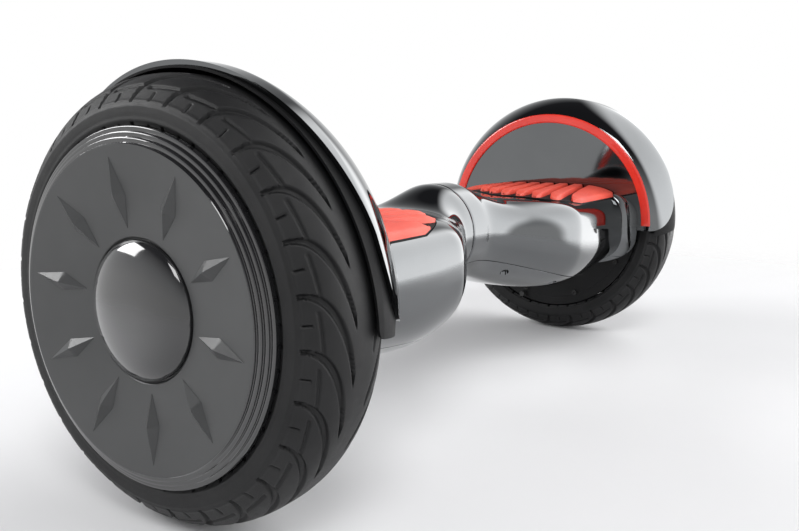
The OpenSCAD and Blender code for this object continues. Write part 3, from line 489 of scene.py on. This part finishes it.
def tyre(side_name):
    """The tyre as one closed surface of revolution with the directional tread pressed into it."""
    half = [(TYRE_HALF - 1.6, RIM_R + 0.2), (TYRE_HALF - 0.4, RIM_R + 3), (TYRE_HALF, 104.5),
            (TYRE_HALF, 108.6), (TYRE_HALF - 1.2, 111.2)]
    crown = [(TREAD_HALF * t, TYRE_R - TREAD_DROP * t ** 3) for t in np.linspace(1, 0, 24)]
    outline = np.array(half + crown)
    outline = np.concatenate([outline, (outline * [-1, 1])[-2::-1]])
    fine = soften(outline, 1.4, 0.2)
    length = np.concatenate([[0], np.cumsum(np.hypot(*np.diff(fine, axis=0).T))])
    wall = 13.4
    columns = np.concatenate([
        np.linspace(0, wall, 22, endpoint=False),
        np.linspace(wall, length[-1] - wall, 118, endpoint=False),
        np.linspace(length[-1] - wall, length[-1], 23)])
    u = np.interp(columns, length, fine[:, 0])
    r = np.interp(columns, length, fine[:, 1])
    normal = np.stack([-np.gradient(r, columns), np.gradient(u, columns)], -1)
    normal /= -np.linalg.norm(normal, axis=1)[:, None]
    normal *= np.where(normal[:, 1] * (r - 90) + normal[:, 0] * u < 0, -1, 1)[:, None]
    steps = GROOVES * 36
    pitch = (np.arange(steps) * GROOVES / steps)[:, None]
    outside = groove_depth(u[None, :], pitch)
    inside = groove_depth(-u[None, :], pitch + 0.5)
    cut = np.maximum(outside, inside)
    # Raised mould rings on the sidewalls
    for ring_r, height, width in ((108.0, 0.45, 0.7), (101.6, 0.5, 1.1), (111.4, 0.3, 0.6)):
        on_wall = np.abs(u) > 27
        cut = cut - np.where(on_wall, height * np.exp(-((r - ring_r) / width) ** 2), 0)[None, :]
    x = WHEEL_X + np.clip(u - cut * normal[:, 0], -TYRE_HALF, TYRE_HALF)
    radius = np.minimum(r - cut * normal[:, 1], TYRE_R)
    inner = np.array([(-24.0, RIM_R), (-22, 106), (-18, 116), (0, 118), (18, 116), (22, 106),
                      (24.0, RIM_R)])
    x = np.concatenate([x, np.broadcast_to(WHEEL_X + inner[:, 0], (steps, len(inner)))], 1)
    radius = np.concatenate([radius, np.broadcast_to(inner[:, 1], (steps, len(inner)))], 1)
    angle = (np.arange(steps) * 2 * math.pi / steps)[:, None]
    points = np.stack([x, -radius * np.sin(angle), AXLE_Z + radius * np.cos(angle)], -1)
    faces = lattice(points, wrap_rows=True, wrap_columns=True)
    obj = make_object(f"{side_name}_tyre_tread", points, faces, SIDES[side_name], sharp=60)
    return place(obj, f"{side_name}_wheel", "tyre_rubber", [f"{side_name}_tyre"])


def face_x(r):
    """Face of the dished wheel cover at a radius."""
    return COVER_FACE_X - DISH * (DISC_R - r) / (DISC_R - CAP_R)


def wheel_cover(side_name):
    """Dark satin disc with raised four-sided darts, and three stepped gloss rings round it."""
    face, back = COVER_FACE_X, TYRE_HIGH[0] - 3.3
    steps, step_x, dart_turn, web_r = 3, 1.65, 360 / DARTS, 62
    step_r = (RIM_R - DISC_R) / steps
    hub = face_x(CAP_R)
    ring = [(hub - 1.4, CAP_R - 3), (hub - 1.4, CAP_R + 0.2), (hub - 0.9, CAP_R + 0.8),
            (hub - 0.2, CAP_R + 1.0), (face_x(CAP_R + 1.5), CAP_R + 1.5)]
    ring += [(face_x(r), r) for r in np.linspace(CAP_R + 3, DISC_R - 2, 9)]
    ring += [(face_x(DISC_R - 0.9), DISC_R - 0.9), (face - 0.12, DISC_R - 0.35),
             (face - 0.5, DISC_R)]
    for k in range(steps):
        x, r = face - step_x * (k + 1), DISC_R + step_r * k
        ring += [(x + 0.25, r + 0.05), (x, r + 0.35), (x + 0.12, r + step_r * 0.5),
                 (x + 0.1, r + step_r - 0.7), (x - 0.05, r + step_r - 0.25), (x - 0.5, r + step_r)]
    ring += [(face - 6.2, RIM_R), (back, RIM_R), (back, RIM_R - 9),
             (face_x(DISC_R - 3) - 3, DISC_R - 3), (face_x(web_r) - 3, web_r), (back, web_r),
             (back, CAP_R - 3)]
    points = revolve(ring, 288)
    faces = lattice(points, wrap_rows=True, wrap_columns=True)
    count = points.shape[0] * points.shape[1]
    all_points = [points.reshape(-1, 3)]
    for k in range(DARTS):
        dart_points, dart_faces = dart(math.radians(dart_turn * k + DART_PHASE))
        faces += [[i + count for i in f] for f in dart_faces]
        all_points.append(dart_points)
        count += len(dart_points)
    obj = make_object(f"{side_name}_wheel_disc", np.concatenate(all_points), faces,
                      SIDES[side_name], sharp=24)
    place(obj, f"{side_name}_wheel", "wheel_cover_plastic", [f"{side_name}_wheel_cover"])
    obj.data.materials.append(MATERIALS["ring_gloss"])
    edge = DISC_R - 0.5
    for polygon in obj.data.polygons:
        c = polygon.center / MM
        if math.hypot(c[1], c[2] - AXLE_Z) > edge:
            polygon.material_index = 1
    return obj


def dart(angle):
    """A kite whose four facets rise to one point; its edges are worn slightly round."""
    inner, length, width, height, sink = CAP_R + 6, 38.3, 11.0, 4.0, 0.4
    ridge = inner + length * 0.46
    outline = [(inner, 0), (ridge, -width / 2), (inner + length, 0), (ridge, width / 2)]
    ring_low, rim_h = [], 0.18
    for k in range(4):
        a, b = np.array(outline[k]), np.array(outline[(k + 1) % 4])
        for t in np.linspace(0, 1, 8, endpoint=False):
            ring_low.append(mix(a, b, t))
    ring_low = np.array(ring_low)
    centre = np.array([ridge, 0.0])
    levels = [(1.0, -sink), (1.0, 0.0), (0.985, rim_h), (0.66, height * 0.36), (0.33, height * 0.70),
              (0.06, height * 0.965)]
    rows = []
    for share, h in levels:
        flat = centre + (ring_low - centre) * share
        rows.append([(face_x(p[0]) + h, p[0] * math.sin(angle) + p[1] * math.cos(angle),
                      AXLE_Z + p[0] * math.cos(angle) - p[1] * math.sin(angle)) for p in flat])
    points = np.array(rows)
    return points.reshape(-1, 3), tube_faces(points)


def hub_cap(side_name):
    """Low polished dome in the middle of the wheel."""
    base = face_x(CAP_R) - 1.2
    foot = base + 0.5
    rise = CAP_TIP_X - foot
    turn = np.radians(np.linspace(0, 90, 34))
    dome = [(foot + rise * math.sin(a), (CAP_R - 0.1) * math.cos(a) ** 0.80) for a in turn[:-1]]
    profile = [(base, 0.0), (base, CAP_R - 0.1)] + dome + [(CAP_TIP_X, 0.0)]
    points = revolve(profile, 160)
    faces = lattice(points, wrap_rows=True)
    obj = make_object(f"{side_name}_hub_dome", points, faces, SIDES[side_name], sharp=40,
                      merge=0.001)
    return place(obj, f"{side_name}_wheel", "gloss_cap", [f"{side_name}_hub_cap"])


# ---------------------------------------------------------------- body

def upper_shell(side_name):
    """Top shell with the pocket that the foot pad sinks into."""
    side = SIDES[side_name]
    obj = pod_wall(f"{side_name}_deck_shell", side_name, -COVER_ANGLE, 180 + COVER_ANGLE, 190)
    floor = crown_slab("floor", -PAD_FLOOR - 2.6, -PAD_FLOOR + 0.5, 2.0, side, PAD_OUTER_X + 1)
    apply_boolean(obj, floor, "UNION")
    pocket = crown_slab("pocket", -PAD_FLOOR, 0, 0.6, side, PAD_OUTER_X + 0.6, flat_top=POCKET_TOP)
    apply_boolean(obj, pocket, "DIFFERENCE")
    if side_name == "left":
        for node, radius in (("charge_port", PORT_R + PORT_GAP),
                             ("power_button", BUTTON_R + BUTTON_GAP)):
            low, high = node_box(node)
            middle = (low + high) / 2
            hole = cylinder("hole", (middle[0], POD_HALF_W, middle[2]), (0, 1, 0), radius, 20)
            apply_boolean(obj, hole, "DIFFERENCE")
    shade(obj, 32)
    return place(obj, f"{side_name}_half", "shell_gloss", [f"{side_name}_upper_shell"])


def bottom_cover(side_name):
    """Belly cover with round wells for its six screws."""
    side = SIDES[side_name]
    gap = 0.6
    obj = pod_wall(f"{side_name}_belly_shell", side_name, 180 + COVER_ANGLE + gap,
                   360 - COVER_ANGLE - gap, 110)
    for x, y in WELL_PLACES:
        for turn in (-1, 1):
            well = cylinder("well", (x, turn * y, bottom_z(x) + 10), (0, 0, 1), WELL_R, 30, side)
            apply_boolean(obj, well, "DIFFERENCE")
    shade(obj, 32)
    return place(obj, f"{side_name}_half", "shell_gloss", [f"{side_name}_bottom_cover"])


def edge_x(z):
    """Where the fender's open edge lies at a height: slanting above, curving in at the lower ends."""
    knee = FENDER_LOW_Z + FENDER_END_RISE
    if z >= knee:
        return mix(EDGE_LOW_X, EDGE_TOP_X, (z - knee) / (AXLE_Z + FENDER_R - knee))
    bow = math.sqrt(max(1 - ((knee - z) / FENDER_END_RISE) ** 2, 0.0))
    return FENDER_X + (EDGE_LOW_X - FENDER_X) * bow


def fender_corner(inset, first=0.0):
    """Soft corner from the fender's inner face to its rim as pairs of x and radius."""
    points = []
    for a in np.radians(np.linspace(0, 90, 34)):
        x = FENDER_X + FENDER_ROUND - (FENDER_ROUND - inset) * math.cos(a) ** CORNER_POWER
        r = FENDER_R - FENDER_FALL + (FENDER_FALL - inset) * math.sin(a) ** CORNER_POWER
        if r >= FENDER_R - FENDER_FALL + first:
            points.append((x, r))
    return points


def rim_run(radius):
    """The fender's straight rim beyond its corner, at a radius."""
    return [(x, radius) for x in np.linspace(FENDER_X + FENDER_ROUND + 3, FAR_X, 12)]


def keep_inside(obj, outline, side):
    """Keeps what lies inside an outline drawn across the board."""
    walls = np.array([[(x, y, z) for x, z in outline] for y in (-300, 300)])
    apply_boolean(obj, make_object("keep", walls, tube_faces(walls), side), "INTERSECT")


def fender(side_name):
    """Deep round fender whose open edge slants outwards and curves in at the lower ends."""
    side = SIDES[side_name]
    profile = [(FENDER_X, r) for r in np.linspace(0, FENDER_R - FENDER_FALL, 14)[:-1]]
    profile += fender_corner(0.0) + rim_run(FENDER_R) + [(FAR_X, FENDER_R - FENDER_WALL)]
    profile += fender_corner(FENDER_WALL)[::-1] + [(FENDER_X + FENDER_WALL, 0.0)]
    points = revolve(profile, 320)
    obj = make_object(f"{side_name}_fender_shell", points, lattice(points, wrap_rows=True), side,
                      merge=0.001)
    high = AXLE_Z + FENDER_R + REACH_UP
    heights = FENDER_LOW_Z + FENDER_END_RISE * (1 - np.cos(np.radians(np.linspace(0, 90, 30))))
    outline = [(0, FENDER_LOW_Z)] + [(edge_x(z), z) for z in heights]
    keep_inside(obj, outline + [(edge_x(high), high), (0, high)], side)
    # The inner face is filled behind the pod, whose outline is taken before its flange
    before_flange = 12
    ring = pod_ring(FENDER_X - before_flange, 0, 360, 240, 0.0)[:-1]
    plate = np.array([ring + [before_flange, 0, 0], ring + [before_flange + FENDER_WALL, 0, 0]])
    apply_boolean(obj, make_object("plate", plate, tube_faces(plate), side), "UNION")
    hole = cylinder("hole", (FENDER_X, 0, AXLE_Z), (1, 0, 0), AXLE_HOLE_R, 20, side)
    apply_boolean(obj, hole, "DIFFERENCE")
    shade(obj, 28)
    return place(obj, f"{side_name}_half", "shell_gloss", [f"{side_name}_fender"])


def fender_liner(side_name):
    """Black skin inside the fender's corner, which shows beside and below its edges."""
    side = SIDES[side_name]
    gap, first = FENDER_WALL + 0.1, 3.0
    profile = fender_corner(gap, first) + rim_run(FENDER_R - gap)
    profile += [(FAR_X, FENDER_R - gap - LINER_T)] + fender_corner(gap + LINER_T, first)[::-1]
    points = revolve(profile, 320)
    obj = make_object(f"{side_name}_fender_lip", points, lattice(points, True, True), side)
    high = AXLE_Z + FENDER_R + REACH_UP
    lip_x = EDGE_TOP_X + LINER_LIP
    top = lip_x + (lip_x - LINER_LOW_X) / (AXLE_Z + FENDER_R - FENDER_LOW_Z) * REACH_UP
    keep_inside(obj, [(0, LINER_LOW_Z), (FENDER_X, LINER_LOW_Z),
                      (LINER_LOW_X - 4, FENDER_LOW_Z - 1.2), (LINER_LOW_X - 1, FENDER_LOW_Z + 0.6),
                      (LINER_LOW_X, FENDER_LOW_Z + 4), (top, high), (0, high)], side)
    shade(obj, 28)
    return place(obj, f"{side_name}_half", "liner_black", [f"{side_name}_fender_liner"])


def arc_trim(side_name):
    """Red half ring on the fender's inner face, with rounded shoulders."""
    section = [(0.0, 0.0), (0.0, 0.55), (0.06, 0.82), (0.16, 1.0), (0.5, 1.0), (0.84, 1.0),
               (0.94, 0.82), (1.0, 0.55), (1.0, 0.0)]
    angles = np.linspace(-math.pi / 2, math.pi / 2, 180)
    rows = []
    for k, a in enumerate(angles):
        ends = min(k, len(angles) - 1 - k)
        swell = (0.55, 0.9, 1.0)[min(ends, 2)]
        rows.append([(FENDER_X - ARC_H * h * swell, (ARC_IN + ARC_W * w) * math.sin(a),
                      AXLE_Z + (ARC_IN + ARC_W * w) * math.cos(a)) for w, h in section])
    points = np.array(rows)
    obj = make_object(f"{side_name}_arc_strip", points, tube_faces(points), SIDES[side_name])
    return place(obj, f"{side_name}_half", "red_trim", [f"{side_name}_arc_trim"])


def bar_sections(k):
    """One raised bar of the foot pad, from its tapered inner tip to the fender."""
    lower = GROOVE_MID_Y + (k - BAR_COUNT / 2) * GROOVE_PITCH + GROOVE_W / 2
    upper = GROOVE_MID_Y + (k + 1 - BAR_COUNT / 2) * GROOVE_PITCH - GROOVE_W / 2
    slants = [GROOVE_SLANT, GROOVE_SLANT]
    if k == 0:
        lower, slants[0] = -PAD_FRONT, 0.0
    if k == BAR_COUNT - 1:
        upper, slants[1] = PAD_BACK, 0.0

    def edges(x):
        return np.array([lower, upper]) - np.array(slants) * (PAD_OUTER_X - x)

    x = PAD_INNER_X
    for _ in range(60):
        front, rear = edges(x)
        x = mix(x, float(pad_edge_x((max(front, -PAD_FRONT) + rear) / 2)) + 1.0, 0.5)
    tip = x
    run = np.concatenate([[0, 0.4, 1.2, 2.6, 4.6, 7.2, 10.5, 14.5, 19],
                          np.linspace(25, PAD_OUTER_X - tip, 26)])
    foot = PAD_SKIN - 0.3
    draft = 0.7
    rows = []
    for along in run:
        x = tip + along
        front, rear = edges(x)
        front, rear = max(front, -PAD_FRONT), max(rear, -PAD_FRONT + 2)
        width = rear - front
        middle = (front + rear) / 2
        share = math.sqrt(max(1 - (1 - min(along / 16.0, 1)) ** 2, 0.0)) * 0.86 + 0.14
        half = width / 2 * share
        height = PAD_SKIN + BAR_H * (0.34 + 0.66 * float(smooth_step(0, 13, along)))
        ring = [(middle - half, foot), (middle - half + draft * 0.55, height * 0.72),
                (middle - half + draft, height - 0.35), (middle - half + draft + 0.7, height)]
        inner = np.linspace(middle - half + draft + 1.6, middle + half - draft - 1.6, 7)
        ring += [(y, height) for y in inner]
        ring += [(middle + half - draft - 0.7, height), (middle + half - draft, height - 0.35),
                 (middle + half - draft * 0.55, height * 0.72), (middle + half, foot)]
        rows.append([(x, y, crown_z(np.clip(y, -POD_HALF_W + 1, POD_HALF_W - 1)) + h)
                     for y, h in ring])
    return np.array(rows)


def foot_pad(side_name):
    """Rubber pad: a crowned base with eight slanted bars whose tips taper towards the middle; the
    base is coloured near-black as painted shade in the grooves between the bars.
    """
    side = SIDES[side_name]
    base = crown_slab(f"{side_name}_pad_base", -PAD_SINK, PAD_SKIN, 0.0, side, PAD_OUTER_X)
    shade(base, 35)
    # The base takes the near-black liner colour as painted shade in the grooves between the bars.
    place(base, f"{side_name}_pad", "liner_black", [f"{side_name}_foot_pad"])
    points = bar_sections(0)
    obj = make_object(f"{side_name}_pad_bars", points, tube_faces(points), side)
    for k in range(1, BAR_COUNT):
        points = bar_sections(k)
        apply_boolean(obj, make_object("bar", points, tube_faces(points), side), "UNION")
    trim = crown_slab("trim", -PAD_SINK, 0, -0.2, side, PAD_OUTER_X, flat_top=POCKET_TOP)
    apply_boolean(obj, trim, "INTERSECT")
    shade(obj, 30)
    return place(obj, f"{side_name}_pad", "red_rubber", [f"{side_name}_foot_pad"])


for side_name in SIDES:
    tyre(side_name)
    wheel_cover(side_name)
    hub_cap(side_name)
    upper_shell(side_name)
    bottom_cover(side_name)
    fender(side_name)
    fender_liner(side_name)
    arc_trim(side_name)
    foot_pad(side_name)

for part in frame["record"]["subparts"]:
    carried = frame["nodes"][part["node"]]
    carried.data.materials.clear()
    carried.data.materials.append(MATERIALS[part["material_slot"]])


# ---------------------------------------------------------------- studio

def studio():
    """White room: bright below, darker overhead, with one soft card that the gloss reflects."""
    world = bpy.data.worlds.new("studio")
    bpy.context.scene.world = world
    world.use_nodes = True
    nodes, links = world.node_tree.nodes, world.node_tree.links
    nodes.clear()
    out = nodes.new("ShaderNodeOutputWorld")
    room = nodes.new("ShaderNodeBackground")
    page = nodes.new("ShaderNodeBackground")
    chosen = nodes.new("ShaderNodeMixShader")
    path = nodes.new("ShaderNodeLightPath")
    where = nodes.new("ShaderNodeTexCoord")
    split = nodes.new("ShaderNodeSeparateXYZ")
    ramp = nodes.new("ShaderNodeValToRGB")
    links.new(where.outputs["Generated"], split.inputs["Vector"])
    links.new(split.outputs["Z"], ramp.inputs["Fac"])
    stops = ramp.color_ramp.elements
    stops[0].position, stops[0].color = 0.0, (1.0, 1.0, 1.0, 1)
    stops[1].position, stops[1].color = 0.75, (0.05, 0.05, 0.055, 1)
    middle = stops.new(0.22)
    middle.color = (0.80, 0.81, 0.82, 1)
    links.new(ramp.outputs["Color"], room.inputs["Color"])
    room.inputs["Strength"].default_value = 1.0
    page.inputs["Color"].default_value = (1, 1, 1, 1)
    # A broad soft card to the right of the board's front
    side = nodes.new("ShaderNodeVectorMath")
    side.operation = "DOT_PRODUCT"
    side.inputs[1].default_value = (0.72, -0.60, 0.34)
    card_edge = nodes.new("ShaderNodeMapRange")
    card_edge.interpolation_type = "SMOOTHSTEP"
    card_edge.inputs["From Min"].default_value = 0.58
    card_edge.inputs["From Max"].default_value = 0.76
    card_edge.inputs["To Max"].default_value = 3.2
    card = nodes.new("ShaderNodeBackground")
    both = nodes.new("ShaderNodeAddShader")
    links.new(where.outputs["Generated"], side.inputs[0])
    links.new(side.outputs["Value"], card_edge.inputs["Value"])
    links.new(card_edge.outputs["Result"], card.inputs["Strength"])
    links.new(room.outputs["Background"], both.inputs[0])
    links.new(card.outputs["Background"], both.inputs[1])
    links.new(path.outputs["Is Camera Ray"], chosen.inputs["Fac"])
    links.new(both.outputs["Shader"], chosen.inputs[1])
    links.new(page.outputs["Background"], chosen.inputs[2])
    links.new(chosen.outputs["Shader"], out.inputs["Surface"])


def soft_box(name, location, target, size, power):
    light = bpy.data.lights.new(name, "AREA")
    light.shape = "RECTANGLE"
    light.size, light.size_y = size
    light.energy = power
    obj = bpy.data.objects.new(name, light)
    obj.location = location
    obj.rotation_euler = (Vector(target) - Vector(location)).to_track_quat("-Z", "Y").to_euler()
    bpy.context.scene.collection.objects.link(obj)


def floor():
    """Pale floor that fades into the white page far away from the board."""
    mesh = bpy.data.meshes.new("floor")
    reach = 12.0
    corners = [(-reach, -reach, 0), (reach, -reach, 0), (reach, reach, 0), (-reach, reach, 0)]
    mesh.from_pydata(corners, [], [(0, 1, 2, 3)])
    obj = bpy.data.objects.new("floor", mesh)
    bpy.context.scene.collection.objects.link(obj)
    paint = material("floor_paint", (0.76, 0.76, 0.77), (0.79, 0.79, 0.80), 0.7, 300, 0.05, 2)
    nodes, links = paint.node_tree.nodes, paint.node_tree.links
    where = nodes.new("ShaderNodeTexCoord")
    far = nodes.new("ShaderNodeVectorMath")
    far.operation = "LENGTH"
    fade = nodes.new("ShaderNodeMapRange")
    fade.interpolation_type = "SMOOTHSTEP"
    fade.inputs["From Min"].default_value = 0.5
    fade.inputs["From Max"].default_value = 1.15
    clear = nodes.new("ShaderNodeBsdfTransparent")
    blend = nodes.new("ShaderNodeMixShader")
    links.new(where.outputs["Object"], far.inputs[0])
    links.new(far.outputs["Value"], fade.inputs["Value"])
    links.new(fade.outputs["Result"], blend.inputs["Fac"])
    links.new(nodes["Principled BSDF"].outputs["BSDF"], blend.inputs[1])
    links.new(clear.outputs["BSDF"], blend.inputs[2])
    links.new(blend.outputs["Shader"], nodes["Material Output"].inputs["Surface"])
    obj.data.materials.append(paint)
    obj.location.z = -0.0005


studio()
floor()
soft_box("key", (-1.5, -1.2, 2.4), (0, 0, 0.12), (1.2, 1.2), 34)
soft_box("back", (-1.4, 2.2, 1.5), (-0.1, 0, 0.2), (1.4, 1.2), 48)

camera_data = bpy.data.cameras.new("camera")
camera_data.lens = 35.81
camera_data.sensor_width = 36.0
camera_data.shift_x = -0.0255
camera_data.shift_y = -0.0120
camera = bpy.data.objects.new("camera", camera_data)
camera.location = (-0.5816, -0.3495, 0.2210)
yaw, pitch = 0.563, -0.152
look = Vector((math.cos(yaw) * math.cos(pitch), math.sin(yaw) * math.cos(pitch), math.sin(pitch)))
camera.rotation_euler = look.to_track_quat("-Z", "Y").to_euler()
bpy.context.scene.collection.objects.link(camera)
bpy.context.scene.camera = camera
bpy.context.scene.view_settings.view_transform = "Standard"
